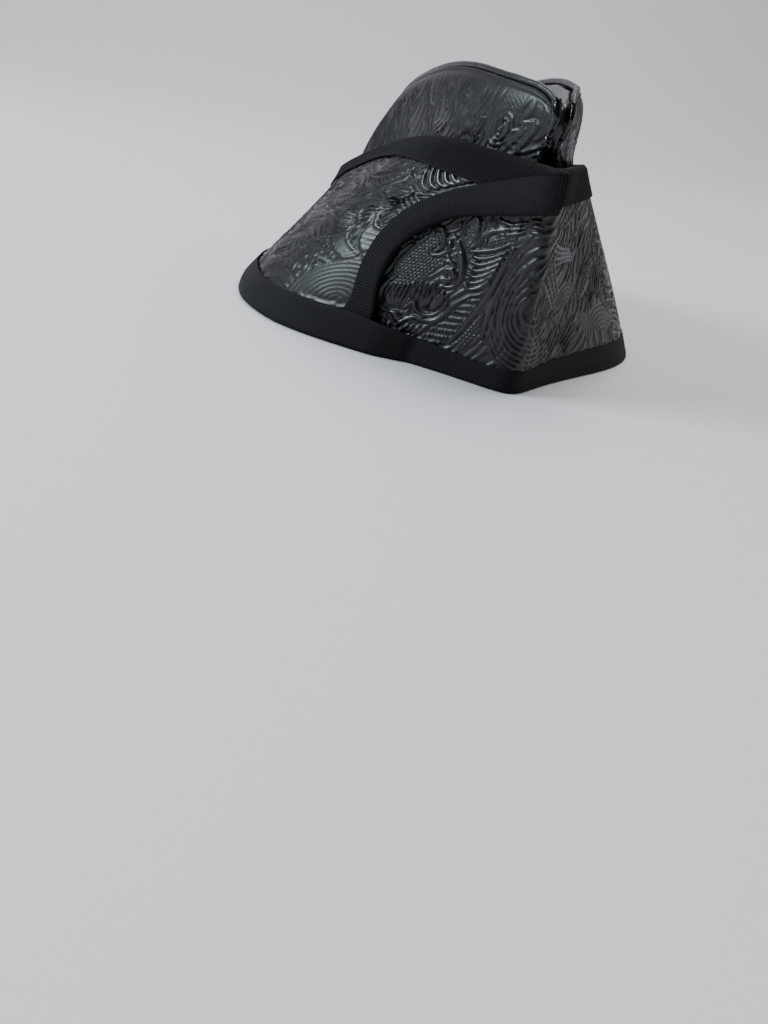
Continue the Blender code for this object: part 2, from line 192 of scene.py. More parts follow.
class EmbossedLeather:
    """A hide seen from above, in millimetres, with the height of its relief on a fine raster.

    Each motif covers what was laid before it and presses a groove round itself.
    """
    STEP = 0.2

    def __init__(self, low, high, seed):
        self.low = np.array(low, float)
        across, up = (int(np.ceil((b - a) / self.STEP)) + 1 for a, b in zip(low, high))
        self.x = self.low[0] + np.arange(across) * self.STEP
        self.y = self.low[1] + np.arange(up) * self.STEP
        self.start = 0.0        # x from which the motifs being laid are measured
        self.rng = np.random.default_rng(seed)
        X, Y = np.meshgrid(self.x, self.y)
        self.height = (-0.26 + 0.06 * self.cloud(self.rng, X, Y, 0.6)
                       + 0.06 * self.cloud(self.rng, X, Y, 1.4))

    @staticmethod
    def cloud(rng, X, Y, size):
        """Smooth noise from -1 to 1 with lumps of about a size."""
        x, y = (X - X.min()) / size, (Y - Y.min()) / size
        knots = rng.uniform(-1, 1, (int(y.max()) + 3, int(x.max()) + 3))
        i, j = y.astype(int), x.astype(int)
        v, u = smooth(y - i, 0, 1), smooth(x - j, 0, 1)
        return ((knots[i, j] * (1 - u) + knots[i, j + 1] * u) * (1 - v)
                + (knots[i + 1, j] * (1 - u) + knots[i + 1, j + 1] * u) * v)

    def window(self, low, high):
        """The raster between two corners, as slices and coordinates."""
        j = slice(*np.clip(np.searchsorted(self.x, (low[0], high[0])), 0, len(self.x)))
        i = slice(*np.clip(np.searchsorted(self.y, (low[1], high[1])), 0, len(self.y)))
        X, Y = np.meshgrid(self.x[j], self.y[i])
        return (i, j), X, Y

    def press(self, place, depth, height, groove=0.3):
        """Lays a motif: depth is the distance inside its outline."""
        inside = smooth(depth, -0.15, 0.2)
        ground = self.height[place]
        ground = ground * (1 - inside) + height * inside
        self.height[place] = ground - groove * np.exp(-((depth + 0.4) / 0.38) ** 2)

    @staticmethod
    def ripple(phase):
        return (0.5 + 0.5 * np.cos(2 * np.pi * phase)) ** 1.2

    def placed(self, points):
        """A motif's points, moved to where the motif is laid."""
        return np.array(points, float) + (self.start, 0)

    def ridge(self, points, wide=0.8, high=0.42, groove=0.25):
        """Rounded line through a few points, tapered at both ends. A negative height cuts a groove."""
        self.stroke(self.placed(points), wide, high, groove)

    def stroke(self, points, wide, high, groove=0.25):
        """Ridge through points that are in place already."""
        line = curve(points)
        place, X, Y = self.window(line.min(axis=0) - wide - 1, line.max(axis=0) + wide + 1)
        if not X.size:
            return
        away = (X[..., None] - line[:, 0]) ** 2 + (Y[..., None] - line[:, 1]) ** 2
        t = away.argmin(axis=-1) / (len(line) - 1)
        half = wide * (0.3 + 0.7 * np.sin(np.pi * t) ** 0.5)
        depth = half - np.sqrt(away.min(axis=-1))
        self.press(place, depth, high * np.sqrt(np.clip(depth / half, 0, 1)), groove)

    def comb(self, first, last, count, wide=0.75, high=0.42, groove=0.25):
        """Family of ridges that pass from one line to another."""
        first, last = self.placed(first), self.placed(last)
        for k in np.linspace(0, 1, count):
            self.stroke(first + (last - first) * k, wide, high, groove)

    def lobe(self, points, bulge=0.3, rim=0.42, wide=0.7, beads=0.0):
        """Closed shape with a raised rim; its inside bulges, or carries beads of a given pitch."""
        self.patch(self.placed(points), bulge, rim, wide, beads)

    def patch(self, points, bulge, rim, wide, beads=0.0):
        """Lobe round points that are in place already."""
        line = curve([*points, points[0]])
        place, X, Y = self.window(line.min(axis=0) - 1.5, line.max(axis=0) + 1.5)
        if not X.size:
            return
        away = np.sqrt(((X[..., None] - line[:, 0]) ** 2 + (Y[..., None] - line[:, 1]) ** 2).min(axis=-1))
        after = np.roll(line, -1, axis=0)
        rises = (line[:, 1] > Y[..., None]) != (after[:, 1] > Y[..., None])
        span = np.where(after[:, 1] == line[:, 1], 1.0, after[:, 1] - line[:, 1])
        crossing = line[:, 0] + (Y[..., None] - line[:, 1]) / span * (after[:, 0] - line[:, 0])
        inside = (rises & (X[..., None] < crossing)).sum(axis=-1) % 2 == 1
        depth = np.where(inside, away, -away) + wide
        body = bulge * smooth(depth, 0, 3.5)
        if beads:
            body = -0.25 + 0.75 * self.dots(X, Y, beads)
        crest = rim * np.exp(-((depth - wide) / wide) ** 2)
        self.press(place, depth, np.maximum(body, crest))

    @staticmethod
    def dots(X, Y, pitch):
        c = 2 * np.pi / pitch
        waves = np.cos(c * Y) + np.cos(c * (Y / 2 + X * 0.866)) + np.cos(c * (Y / 2 - X * 0.866))
        return np.clip(waves / 3, 0, 1)

    def beads(self, x, y, head, long, wide, pitch=1.15):
        """Oval patch of small round beads."""
        x += self.start
        place, X, Y = self.window((x - long, y - long), (x + long, y + long))
        a = np.radians(head)
        p = (X - x) * np.cos(a) + (Y - y) * np.sin(a)
        q = (Y - y) * np.cos(a) - (X - x) * np.sin(a)
        depth = (1 - np.hypot(p / long, q / wide)) * min(long, wide)
        self.press(place, depth, -0.25 + 0.75 * self.dots(p, q, pitch), groove=0.0)

    def arches(self, x, y, head, spread, near, far, pitch=2.0, high=0.75):
        """Rows of arcs round a centre, fading at their ends."""
        x += self.start
        place, X, Y = self.window((x - far - 1, y - far - 1), (x + far + 1, y + far + 1))
        r = np.hypot(X - x, Y - y)
        turn = (np.degrees(np.arctan2(Y - y, X - x)) - head + 180) % 360 - 180
        k = np.abs(turn) / spread * 2
        depth = np.minimum(np.minimum(r - near, far - r), (1 - k) * np.radians(spread / 2) * r)
        fade = (1 - smooth(k, 0.75, 1.0)) ** 0.5
        self.press(place, depth, -0.3 + high * self.ripple(r / pitch) * fade, groove=0.1)

    def leaf(self, x, y, head, long, curl, wide):
        """Leaf with a scalloped edge and veins that sweep forward from its midrib."""
        x += self.start
        bend = np.radians(curl)
        at = np.linspace(0, 1, 9)
        turn = np.radians(head) + bend * at
        steps = np.stack([np.cos(turn), np.sin(turn)], axis=1) * long / 8
        spine = np.array([x, y]) + np.concatenate([[[0, 0]], np.cumsum(steps[:-1], axis=0)])
        across = np.stack([-np.sin(turn), np.cos(turn)], axis=1)
        half = wide * np.sin(np.pi * at ** 0.8) ** 0.8
        left, right = spine + across * half[:, None], spine - across * half[:, None]
        self.patch([*left, *right[-2:0:-1]], bulge=0.0, rim=0.3, wide=0.6)
        for side in (1, -1):
            for k in np.linspace(0.08, 0.80, int(long / 2.1)):
                i = k * 8
                root = spine[int(i)] * (1 - i % 1) + spine[int(i) + 1] * (i % 1)
                out, on = across[int(i)] * side, np.array([np.cos(turn[int(i)]), np.sin(turn[int(i)])])
                reach = wide * np.sin(np.pi * (k + 0.12) ** 0.8) ** 0.8
                vein = [root + out * 0.4, root + out * reach * 0.55 + on * 1.3,
                        root + out * reach * 1.02 + on * 3.6]
                self.stroke(vein, wide=0.62, high=0.44)
        self.stroke(spine[:-1], wide=0.5, high=0.2)

    def locks(self, x, y, across, up, head, long, gap, wide=0.7, high=0.3, swing=26):
        """Field of strands that flow side by side, in a direction that swings gently over the hide."""
        x += self.start
        a = np.radians(head)
        on, side = np.array([np.cos(a), np.sin(a)]), np.array([-np.sin(a), np.cos(a)])
        for n, row in enumerate(np.arange(-up / 2, up / 2, gap)):
            for column in np.arange(-across / 2, across / 2, long * 0.8):
                offset = column + (0.4 * (n % 2) + self.rng.uniform(-0.12, 0.12)) * long
                point = (x, y) + on * offset + side * row
                reach, line = long * self.rng.uniform(0.65, 1.1), []
                for _ in range(5):
                    line.append(point)
                    sway = (np.sin(point[0] / 7.3 + point[1] / 11.0)
                            + 0.6 * np.sin(point[0] / 4.7 - point[1] / 5.9))
                    turn = np.radians(head + swing * sway)
                    point = point + np.array([np.cos(turn), np.sin(turn)]) * reach / 4
                self.stroke(line, wide * self.rng.uniform(0.75, 1.1),
                            high * self.rng.uniform(0.7, 1.1), high * 0.4)

    def sample(self, x, y):
        """Height at any places."""
        fx = np.clip((np.asarray(x) - self.low[0]) / self.STEP, 0, len(self.x) - 1.001)
        fy = np.clip((np.asarray(y) - self.low[1]) / self.STEP, 0, len(self.y) - 1.001)
        i, j = fy.astype(int), fx.astype(int)
        v, u = fy - i, fx - j
        h = self.height
        return ((h[i, j] * (1 - u) + h[i, j + 1] * u) * (1 - v)
                + (h[i + 1, j] * (1 - u) + h[i + 1, j + 1] * u) * v)


hide = EmbossedLeather((-150, -3), (500, 95), seed=5)


def flower_spray():
    """Flower with a beaded heart and ruffled petals, and the ridges and leaves beside its stem."""
    hide.locks(-26, 40, 90, 100, 70, 11, 2.6, high=0.17)
    hide.leaf(-68, 8, 60, 26, 30, 5.5)
    hide.leaf(-66, 34, 100, 24, 30, 5)
    hide.leaf(-58, 52, 20, 26, -20, 5)
    hide.locks(40, 40, 84, 56, 62, 10, 2.8, high=0.12)
    hide.comb(((-44, 27), (-45.5, 21.5), (-42, 16.5)), ((-36.5, 28), (-35.5, 22), (-37.5, 16.5)), 8, 0.55)
    hide.comb(((-34.6, 27.5), (-34, 23), (-32.5, 18)), ((-30, 28), (-30, 23), (-30.5, 18)), 4, 0.5)
    hide.beads(-39.5, 35.5, 62, 12, 6.4)
    # Ridges of the flower: half width, then the line's points
    for wide, *line in (
            (0.9, (-45, 27.5), (-47, 24.5), (-47.4, 20), (-45.6, 16.5), (-42.5, 14.6), (-40, 14.4)),
            (1.3, (-40.5, 14.6), (-38.8, 13.8), (-37.4, 11.4)),
            (0.8, (-35.8, 25), (-35.6, 20.5), (-33.9, 17.4), (-30.3, 16.2), (-27.2, 18.2),
             (-26, 22), (-26.8, 25.6)),
            (1.2, (-28.2, 25.6), (-28.4, 22), (-29.4, 18.6)),
            (0.9, (-37.4, 10), (-36, 12.6), (-33.6, 14.6), (-30.6, 14.4), (-27.4, 15.2), (-25.3, 17.8),
             (-23.8, 21.6), (-21.6, 24.2), (-19, 26.4), (-16, 28)),
            (1.1, (-34, 45), (-30.4, 42.4), (-27.2, 38.6), (-25.3, 34.8), (-24.8, 31),
             (-26, 28), (-29.5, 27.2)),
            (0.7, (-34.6, 38), (-32.4, 37.9), (-31, 36.6), (-31.2, 35.2)),
            (0.8, (-32.4, 35.8), (-29.8, 35.8), (-28.4, 34.4), (-28.8, 33)),
            (0.9, (-31, 33.2), (-28.4, 33.2), (-27.1, 31.6), (-28, 29.8)),
            (1.3, (-31, 29.6), (-27.6, 29.4)),
            (1, (-38, 37.2), (-34.8, 37.8), (-33, 39.6), (-33.4, 42), (-35.2, 43.6)),
            (1, (-40.6, 47.5), (-37.4, 45.2), (-35.7, 42.6), (-36, 40), (-38, 38.4)),
            (0.8, (-35, 43.4), (-31.8, 44.6), (-30.5, 47), (-31, 50)),
            (0.7, (-36.4, 46), (-34, 46.4), (-32.8, 48), (-33.2, 49.6))):
        hide.ridge(line, wide)
    hide.lobe(((-29.9, 42.6), (-30.3, 47), (-29.6, 50.4), (-27.8, 51.9), (-25.6, 49.7), (-24.9, 46.1),
               (-26, 42.6), (-28.1, 41.1)), beads=1.2)
    hide.ridge(((-33, 46.4), (-28.4, 42.2), (-25.2, 38.6), (-23.6, 34.6), (-23.1, 30.6), (-24.2, 27.4)),
               0.75, high=-0.45, groove=0)
    # Six ridges that sweep off the flower, two long ones above them, and a beaded leaf
    hide.comb(((-23.6, 39.4), (-20.3, 39), (-16, 40.4), (-11.4, 43.2)),
              ((-22.8, 29.8), (-20.3, 28.6), (-17.4, 29.7), (-14.4, 32.8)), 6, 0.85, 0.46)
    hide.comb(((-19, 52.5), (-13, 51.5), (-7, 53.5)), ((-17, 47.8), (-12, 48.8), (-7, 50.4)), 3, 0.6)
    hide.comb(((-6, 54.5), (-1.5, 55)), ((-5, 51), (-0.5, 51.5)), 3, 0.6)
    hide.beads(-15.2, 45.2, 24, 6, 2, pitch=1.2)
    hide.ridge(((-26, 40.6), (-23.9, 43.2), (-22.4, 46), (-19.6, 48.3), (-14.6, 49.4)), 0.9)
    hide.ridge(((-24.9, 40.6), (-20.3, 41.6), (-16, 43), (-11, 46)), 0.8)
    # Hatched leaf: rows of fine strokes between scalloped edges, beside the stem
    for row in range(7):
        left, y = -19.6 - 1.5 * row, 24.0 - 2.55 * row
        right = -14.8 - 1.05 * row
        hide.comb(((left, y), (left + 0.3, y + 1.5)), ((right, y + 1), (right + 0.3, y + 2.5)),
                  8, 0.34, 0.36)
        hide.ridge(((left - 0.6, y - 0.9), (left + 2.6, y - 0.7), (right, y + 0.2)), 0.4, 0.3)
    hide.beads(-14.2, 16.5, 66, 9, 2.3, pitch=1.2)
    hide.beads(-44.6, 12.2, -30, 4, 1.8, pitch=1)
    hide.comb(((-35.5, 8.5), (-34.3, 11.5)), ((-30.5, 9), (-29, 12.5)), 4, 0.55)
    # Great swirl round the front's edge, then the two stems over its start
    hide.comb(((-7.5, 46), (-12, 33), (-11.6, 19), (-4.5, 8), (7, 4.2), (17, 7.5), (22.5, 14), (24, 22)),
              ((0.5, 33), (-2.6, 28), (-2.6, 22.5), (0.5, 18.8), (5, 17.5), (9.5, 19.5),
               (11.5, 23), (11, 27)), 8, 0.5, 0.2, 0.1)
    hide.comb(((-0.5, 31), (-1.6, 27), (0.4, 22.8), (4.2, 22), (7, 24.5)),
              ((2.2, 28), (1.6, 26.4), (2.2, 24.8), (4, 24.8), (4.8, 26.2)), 2, 0.6, 0.25, 0.1)
    hide.ridge(((-9.4, 45), (-11.4, 38), (-12.6, 32), (-14.6, 26), (-17.2, 18.5), (-20.8, 9)), 1.05, 0.48)
    hide.ridge(((-6.4, 43), (-9.4, 36), (-10.9, 29), (-11.6, 22), (-11.4, 14)), 0.8)
    # The swirl's far side: leaf strokes, nested arches, and slanting dashes up to the ribbon
    hide.comb(((3, 50.5), (8, 48), (15, 46.5), (24, 46), (30, 45)),
              ((7, 42), (11, 41.5), (16, 42), (22, 42.6), (28, 42.4)), 4, 0.6, 0.24, 0.12)
    hide.comb(((7, 44.5), (13, 37.5), (18, 31), (21, 25.5)),
              ((1.5, 37), (7.5, 32.5), (12.5, 28.5), (15.5, 25)), 4, 0.7, 0.28, 0.12)
    hide.arches(26, 26.5, 118, 150, 1.2, 8.6, pitch=1.75, high=0.3)
    hide.arches(38, 16, 40, 150, 1, 8, pitch=1.7, high=0.26)
    hide.arches(53, 14, 84, 120, 2.5, 14, pitch=1.9, high=0.26)
    hide.leaf(34, 29, 60, 22, -30, 3.8)
    hide.leaf(57, 26, 96, 24, 34, 4.4)
    hide.comb(((28, 9), (31, 13), (36, 15)), ((25, 14), (28, 18), (31, 22)), 4, 0.7)
    hide.comb(((44, 31), (44.5, 37), (48, 42)), ((51, 30), (52, 36), (56, 41)), 5, 0.75)
    for wide, *line in (
            (0.8, (25, 57.5), (30, 60.5)), (0.8, (31, 56), (36.5, 59.5)), (0.7, (25, 50), (31, 53)),
            (0.9, (32, 47), (38, 53)), (0.8, (38.5, 42), (41.5, 45.5)), (0.8, (43, 26.5), (46, 31)),
            (0.7, (12, 53), (20, 56), (27, 61)), (0.7, (5, 53), (13, 57), (20, 61))):
        hide.ridge(line, wide, 0.46)
    for line in (((33, 37), (32.4, 32), (34.6, 28.4)), ((41, 24.4), (42.6, 21.8), (45.4, 20.2)),
                 ((46.4, 32), (49.2, 41)), ((57, 34.5), (61, 30), (64.5, 27)),
                 ((19, 49), (23, 47), (26.5, 45.5))):
        hide.ridge(line, 0.7, high=-0.45, groove=0)


def scroll_work():
    """Flames, an eye-shaped leaf, a coiled lock and a beaded ball over rows of arches, and leaves."""
    hide.locks(-92, 40, 96, 84, 10, 14, 2.4, wide=0.62, high=0.16)
    for at, y, head in ((-104, 18, 24), (-110, 48, 12), (-96, 66, -6)):
        hide.leaf(at, y, head, 26, 30, 4.4)
    hide.locks(-68, 33, 26, 20, 34, 8, 1.9, wide=0.6, high=0.3)
    # Strands that sweep under the coil, a rope of short strokes, and rows of arches on the ribbon's edge
    hide.comb(((-80.5, 52), (-79, 43), (-74, 35.5), (-66, 30.6), (-56, 27.6)),
              ((-73.4, 47), (-72.6, 43.4), (-69.8, 39.2), (-65.6, 35.6), (-60, 32.8)), 6, 0.55, 0.36)
    hide.comb(((-75, 25.4), (-74.4, 27.6)), ((-62, 25.4), (-61.4, 27.4)), 13, 0.36)
    hide.arches(-56.8, 13, 105, 172, 1.4, 17.2, pitch=1.8, high=0.32)
    hide.arches(-76, 21, 90, 300, 0.5, 3.8, pitch=1.7, high=0.36)
    # Coiled lock, its hook, and the beaded ball held under it
    hide.comb(((-72.4, 44.5), (-73.4, 49.3), (-71.8, 52.6), (-68.6, 53.2), (-65.4, 51), (-62.4, 47.6)),
              ((-69.2, 44), (-69.4, 46.4), (-68.3, 47.8), (-66.9, 47.2), (-66.2, 45.6), (-66.4, 43.6)),
              4, 0.72, 0.48)
    hide.lobe(((-64.4, 41.4), (-63.4, 44.2), (-60.6, 44.4), (-57.2, 43.6), (-55.8, 40.6), (-56.4, 36.8),
               (-59, 34.4), (-62.6, 36.6)), beads=0.9, rim=0.1)
    hide.ridge(((-63.4, 46), (-65.2, 42.6), (-64.4, 38.4), (-61.6, 35)), 0.6, high=-0.45, groove=0)
    hide.ridge(((-65.6, 50.4), (-63, 46), (-61, 44.2), (-58.6, 43.9), (-57.2, 45.4), (-57.8, 47.6)),
               0.8, 0.46)
    # Eye-shaped leaf with its tail, and a beaded patch below it
    hide.comb(((-58, 60), (-56, 57.5), (-53, 55.6), (-49, 55)),
              ((-63, 55), (-58.5, 51.6), (-54.5, 49.6), (-50, 49)), 5, 0.75)
    hide.lobe(((-72.6, 58.6), (-67.5, 61.6), (-61.4, 61.4), (-58.6, 59), (-61.2, 56.8), (-67, 56.6)),
              bulge=0)
    hide.ridge(((-69, 58.8), (-65, 59.8), (-61, 59.2)), 0.8)
    hide.beads(-62.6, 54.4, -38, 4.6, 1.7, pitch=0.9)
    # Six flames that lean to the front, and the stippled leaf they rise from
    hide.comb(((-61.4, 71), (-59.6, 66), (-56.4, 62), (-51.6, 59.6)),
              ((-46.4, 70.5), (-44, 66.6), (-40.5, 64), (-35, 63)), 6, 0.95, 0.48)
    hide.beads(-64.6, 66.4, 80, 4, 3.2, pitch=0.9)
    hide.ridge(((-73, 59.4), (-70, 62), (-67.6, 63.2), (-66.8, 66), (-68.4, 69.4), (-65, 71.4), (-60, 71)),
               0.9, 0.46)


for hide.start in (-95.0, 130.0, 262.0, 0.0):
    flower_spray()
for hide.start in (196.0, 330.0, CURTAIN_LONG):
    scroll_work()
hide.height = np.clip(hide.height, -0.5, 0.5)


def lay_out(name, grid, flat, relief=None, over=None):
    """Rolls a flat grid into a closed skin through a (columns, rows) table of points in millimetres.

    flat gives each point's place on the unrolled material, in millimetres, for the material's pattern.
    over gives each row's place across the sheet, up its outer face and down its inner one; with it, the
    two ends are drawn together to a thin, crisp edge, and without it the columns form a ring.
    """
    if over is not None:
        turn = int(np.argmax(over))
        up, down = slice(0, turn + 1), slice(turn + 1, len(over) - 1)
        ends = [np.stack([(np.interp(over, over[up], end[up, axis])
                           + np.interp(over, over[down][::-1], end[down, axis][::-1])) / 2
                          for axis in range(3)], axis=-1) for end in (grid[0], grid[-1])]
        grid = np.concatenate([ends[0][None], grid, ends[1][None]])
        flat = np.concatenate([flat[:1], flat, flat[-1:]])
        relief = None if relief is None else np.concatenate([relief[:1], relief, relief[-1:]])
    columns, rows = grid.shape[:2]
    bpy.ops.mesh.primitive_grid_add(x_subdivisions=columns - 1, y_subdivisions=rows - 1, size=1.0)
    piece = bpy.context.object
    piece.name = piece.data.name = name
    mesh = piece.data
    at = np.empty(len(mesh.vertices) * 3)
    mesh.vertices.foreach_get("co", at)
    at = at.reshape(-1, 3)
    i = np.rint((at[:, 0] + 0.5) * (columns - 1)).astype(int)
    j = np.rint((at[:, 1] + 0.5) * (rows - 1)).astype(int)
    mesh.vertices.foreach_set("co", ((grid[i, j] + CENTRE) * MM).ravel())
    corner = np.empty(len(mesh.loops), dtype=np.int32)
    mesh.loops.foreach_get("vertex_index", corner)
    mesh.uv_layers[0].data.foreach_set("uv", flat[i, j][corner].ravel())
    if relief is not None:
        mesh.attributes.new("relief", "FLOAT", "POINT").data.foreach_set("value", relief[i, j].ravel())
    bpy.ops.object.mode_set(mode="EDIT")
    bpy.ops.mesh.select_all(action="SELECT")
    bpy.ops.mesh.remove_doubles(threshold=1e-6)
    if over is not None:
        bpy.ops.mesh.select_all(action="DESELECT")
        bpy.ops.mesh.select_non_manifold(extend=False)
        bpy.ops.mesh.fill_holes(sides=0)
    bpy.ops.mesh.select_all(action="SELECT")
    bpy.ops.mesh.normals_make_consistent(inside=False)
    if over is not None:
        bpy.ops.mesh.select_mode(type="EDGE")
        bpy.ops.mesh.select_all(action="DESELECT")
        bpy.ops.mesh.edges_select_sharp(sharpness=np.radians(70))
        bpy.ops.mesh.mark_sharp()
        bpy.ops.mesh.select_mode(type="VERT")
    bpy.ops.object.mode_set(mode="OBJECT")
    bpy.ops.object.shade_smooth(keep_sharp_edges=True)
    piece.select_set(False)
    return piece


def places(lengths, widths):
    """Grid of flat places from lengths along a piece and widths across it."""
    return np.stack(np.meshgrid(lengths, widths, indexing="ij"), axis=-1)


def strip_place(s, v):
    """Place on the unrolled hide of a point of the curtain."""
    return np.interp(s, WAY, ROUND), v * wall_height(s)


def wing_row(r):
    """Way round and rise at which a row of the wing ends: on its end edge, or on its tip above that."""
    corner = WING_END["rise"][-1]
    table = dict(WING_END, row=np.linspace(0, WING_CORNER, len(WING_END["rise"])))
    turn = np.where(r <= WING_CORNER, along(table, "turn", r, "row"), 1.0)
    rise = np.where(r <= WING_CORNER, along(table, "rise", r, "row"),
                    corner + (1 - corner) * (r - WING_CORNER) / (1 - WING_CORNER))
    return turn, rise * smooth(r, -0.06, 0.06)


RIM_RIBBON = dict(turn=(0.0, 0.05, 0.12, 0.20, 0.30, 0.50, 0.70, 0.76, 0.84, 0.885, 0.93, 1.0),
                  shown=(6.4, 6.5, 7.9, 9.6, 10.4, 10.4, 9.0, 9.4, 10.8, 7.8, 6.4, 6.4))


def rim_ribbon_shown(turn):
    """Width that the rim's ribbon shows on the curtain: it was sewn on lower round the front."""
    return along(RIM_RIBBON, "shown", np.asarray(turn, float) % 1.0, "turn")


def curtain_part(name, s_line, rows, fan=False):
    """One length of the curtain: relief on its outer face, a plain inner face, and thin edges."""
    up = np.linspace(0, 1, rows)
    down = up[np.linspace(rows - 1, 0, 12).astype(int)]
    v = np.concatenate([up, down, up[:1]])
    outer = np.concatenate([np.ones(rows), np.zeros(len(down)), [1.0]])
    S, V = np.meshgrid(s_line, v, indexing="ij")
    if fan:
        end_turn, end_rise = wing_row(v)
        share = np.clip((S - WING_ROOT) / (1 - WING_ROOT), 0, 1)
        S = np.where(S > WING_ROOT, WING_ROOT + (end_turn - WING_ROOT) * share, S)
        V = V + (end_rise - V) * share
    x, y = strip_place(S, V)
    height = hide.sample(x, y)
    rim_edge = rim_ribbon_shown(S)
    below, above = V * wall_height(S), (1 - V) * wall_height(S)
    bare = smooth(below, rim_edge - 4.4, rim_edge - 2.8) * smooth(above, 7.5, 9.0)
    height = height * bare - 0.15 * (1 - bare)          # flat where a ribbon covers it
    out = lift(S) + outer * (CURTAIN_LEATHER + height)
    grid = wall(S, V, out)
    flat = np.stack([x, y], axis=-1)
    # The relief attribute carries the height to the finish, which paints ridges paler and grooves darker as
    # painted highlight and painted shade, and sets the gloss.
    relief = np.where(outer > 0, 0.5 + height, 0.2)
    return lay_out(name, grid, flat, relief * np.ones_like(S), over=v)


def spaced(spans):
    """Ways round the strip at given spacings: rows of (from, to, spacing in millimetres)."""
    line = []
    for a, b, gap in spans:
        xa, xb = np.interp((a, b), WAY, ROUND)
        count = max(2, int(round((xb - xa) / gap)))
        line.append(np.interp(np.linspace(xa, xb, count + 1)[:-1], ROUND, WAY))
    return np.append(np.concatenate(line), spans[-1][1])


DEEP_UNDER = -0.235             # up to here the strip is out of sight under the wing
FRONT_TO_LEFT = 0.185
curtain_front = curtain_part("curtain_front", spaced([(UNDERLAP_END, DEEP_UNDER, 3.0),
                                                      (DEEP_UNDER, FRONT_TO_LEFT, 0.40)]), 176)
curtain_left = curtain_part("curtain_left", spaced([(FRONT_TO_LEFT, 0.5, 0.52)]), 150)
curtain_wing = curtain_part("curtain_wing", spaced([(0.5, 0.66, 0.6), (0.66, 1.0, 0.42)]), 150, fan=True)


class Value:
    """A shader socket that takes part in arithmetic: each operation adds its Math node."""

    def __init__(self, tree, socket):
        self.tree, self.socket = tree, socket

    def node(self, kind, settings, inputs, output=0):
        """Adds a node: its settings come first, then the values or links of its sockets."""
        made = self.tree.nodes.new(kind)
        for key, setting in settings.items():
            setattr(made, key, setting)
        for key, given in inputs.items():
            if isinstance(given, Value):
                self.tree.links.new(given.socket, made.inputs[key])
            else:
                made.inputs[key].default_value = given
        return Value(self.tree, made.outputs[output])

    def maths(self, operation, *inputs):
        return self.node("ShaderNodeMath", {"operation": operation}, dict(enumerate(inputs)))

    def __add__(self, other):
        return self.maths("ADD", self, other)

    def __sub__(self, other):
        return self.maths("SUBTRACT", self, other)

    def __rsub__(self, other):
        return self.maths("SUBTRACT", other, self)

    def __mul__(self, other):
        return self.maths("MULTIPLY", self, other)

    __radd__, __rmul__ = __add__, __mul__

    def sine(self):
        return self.maths("SINE", self)

    def blend(self, colour, other):
        """Colour at 0, other at 1."""
        return self.node("ShaderNodeMix", {"data_type": "RGBA"}, {"Factor": self, 6: colour, 7: other}, 2)


def new_finish(name, **constants):
    """A material with its shader's constant values set, and a first socket to build from."""
    material = bpy.data.materials.new(name)
    material.use_nodes = True
    shader = material.node_tree.nodes["Principled BSDF"]
    for key, given in constants.items():
        shader.inputs[key.replace("_", " ")].default_value = given
    return material, shader, Value(material.node_tree, None)


def wire(shader, **links):
    for key, link in links.items():
        link.tree.links.new(link.socket, shader.inputs[key.replace("_", " ")])


def leather_finish(name, dark, light, rough, grain=0.25):
    """Black leather with pores and fine creases: ridges shinier and grooves matte, and its colour paler on
    ridges and darker in grooves as painted highlight and painted shade.
    """
    material, shader, start = new_finish(name, Specular_IOR_Level=0.42)
    place = start.node("ShaderNodeTexCoord", {}, {}, "Object")
    relief = start.node("ShaderNodeAttribute", {"attribute_name": "relief"}, {}, "Fac")
    cloud = start.node("ShaderNodeTexNoise", {}, {"Vector": place, "Scale": 38.0, "Detail": 4.0})
    fine = start.node("ShaderNodeTexNoise", {}, {"Vector": place, "Scale": 900.0, "Detail": 3.0})
    pores = start.node("ShaderNodeTexVoronoi", {"feature": "DISTANCE_TO_EDGE"},
                       {"Vector": place, "Scale": 1500.0})
    # Colour: the relief paints ridges paler and grooves darker, which is painted highlight and painted
    # shade; the cloud adds a random tone.
    colour = (relief * 0.9 + cloud * 0.35 - 0.2).blend(dark, light)
    bump = start.node("ShaderNodeBump", {}, {"Strength": grain, "Distance": 0.0003,
                                             "Height": pores * 0.6 + fine * 0.8})
    wire(shader, Base_Color=colour, Normal=bump,
         Roughness=rough + 0.10 * cloud + 0.06 * fine - 0.32 * relief)
    return material


curtain_finish = leather_finish("curtain_leather", (0.0015, 0.0015, 0.002, 1), (0.014, 0.0142, 0.0155, 1),
                                rough=0.43, grain=0.16)
for piece in (curtain_front, curtain_left, curtain_wing):
    piece.data.materials.append(curtain_finish)
    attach(piece, "root")
    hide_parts("curtain")

# Ribbon bindings: matte black grosgrain, 22 mm wide, folded over each raw edge and sewn down. Ribs run
# across the ribbon about 1 mm apart. One goes over the curtain's top edge, one over the wing's end, and
# the widest round the rim, where it holds both layers under the wing.
RIBBON_WIDE = 22.0
RIBBON_THICK = 0.5
GAP = 0.35
RIBBON_SHOWN = 10.4
CROWN_IN_RIM = 0.6
CROWN_LEATHER = 1.2
RIB_PITCH = 0.95
RIB_HEIGHT = 0.32


def ribbed(inner_path, length):
    """Skin of a ribbon: (stations, path points, 3) of its inner face becomes a ribbed section all round.

    length is the ribbon's length at each station, in millimetres.
    """
    across = np.gradient(inner_path, axis=1)
    run = np.gradient(inner_path, axis=0)
    face = np.cross(run, across)
    face /= np.linalg.norm(face, axis=-1, keepdims=True) + 1e-9
    rib = (0.5 + 0.5 * np.cos(2 * np.pi * length / RIB_PITCH))[:, None, None]
    width = np.linspace(0, 1, inner_path.shape[1])[None, :, None]
    edge = smooth(width, 0, 0.04) * smooth(1 - width, 0, 0.04)
    outer = inner_path + face * (RIBBON_THICK - RIB_HEIGHT * (1 - rib) * (0.45 + 0.55 * edge))
    return np.concatenate([outer, inner_path[:, ::-1], outer[:, :1]], axis=1)


